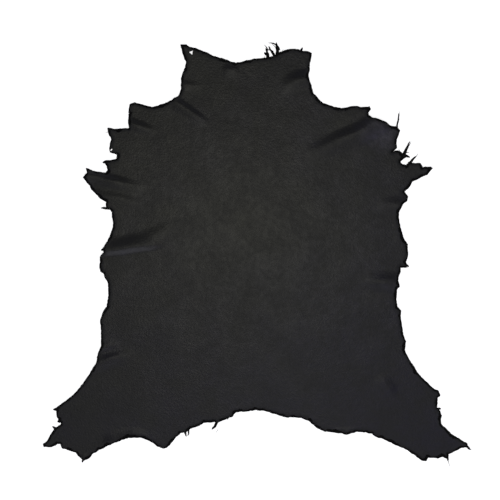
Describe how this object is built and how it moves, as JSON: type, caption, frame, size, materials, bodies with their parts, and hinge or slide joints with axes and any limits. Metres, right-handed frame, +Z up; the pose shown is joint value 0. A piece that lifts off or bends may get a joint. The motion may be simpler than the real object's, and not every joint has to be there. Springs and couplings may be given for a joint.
{
  "type": "leather hide",
  "caption": "Whole tanned black leather hide lying flat, with neck, forelegs, splayed hind legs, a ragged trimmed edge and a few soft buckles.",
  "frame": {"origin": "middle of the hide's footprint, on the surface that it lies on", "axes": "+Z up out of the grain side, +Y towards the neck, +X to the right seen from above"},
  "size_m": [1.067, 1.049, 0.0076],
  "materials": {
    "black_leather": "black drum-dyed grain leather with a low sheen, matt suede under it"
  },
  "bodies": {
    "root": {"hide": "black_leather"}
  },
  "joints": []
}
